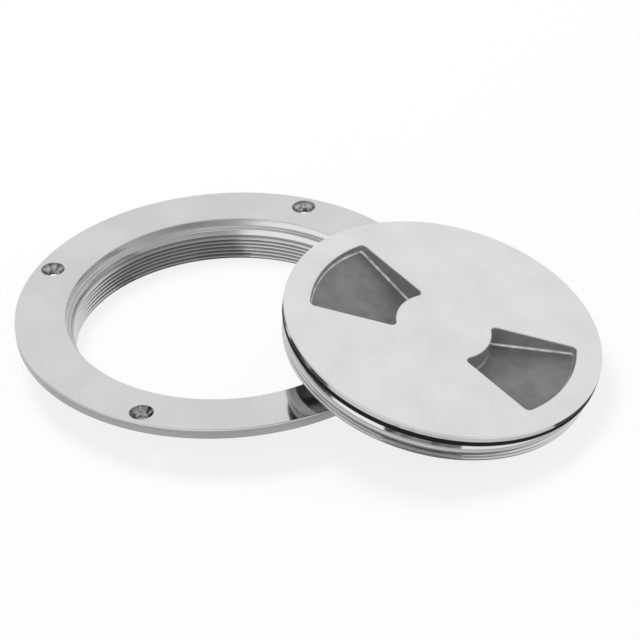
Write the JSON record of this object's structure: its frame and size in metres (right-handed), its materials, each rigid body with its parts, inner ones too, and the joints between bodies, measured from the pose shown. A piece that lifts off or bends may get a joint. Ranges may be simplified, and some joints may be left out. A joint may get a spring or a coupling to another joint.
{
  "type": "deck inspection plate",
  "caption": "Round screw-in deck inspection plate: a flanged ring with a fine internal thread, and its flush screw lid with finger pockets, taken off and leaning on the ring.",
  "frame": {"origin": "on the deck ring's axis, in the plane of the deck under the ring's flange", "axes": "+Z along the deck ring's axis, up out of the deck; +X towards the lid that leans on the ring's flange"},
  "size_m": [0.1987, 0.14, 0.0384],
  "materials": {
    "ring_stainless": "polished",
    "lid_stainless": "polished",
    "seal_rubber": "matte"
  },
  "bodies": {
    "root": {"deck_ring": "ring_stainless", "screw_lid": "lid_stainless", "seal_ring": "seal_rubber"}
  },
  "joints": []
}
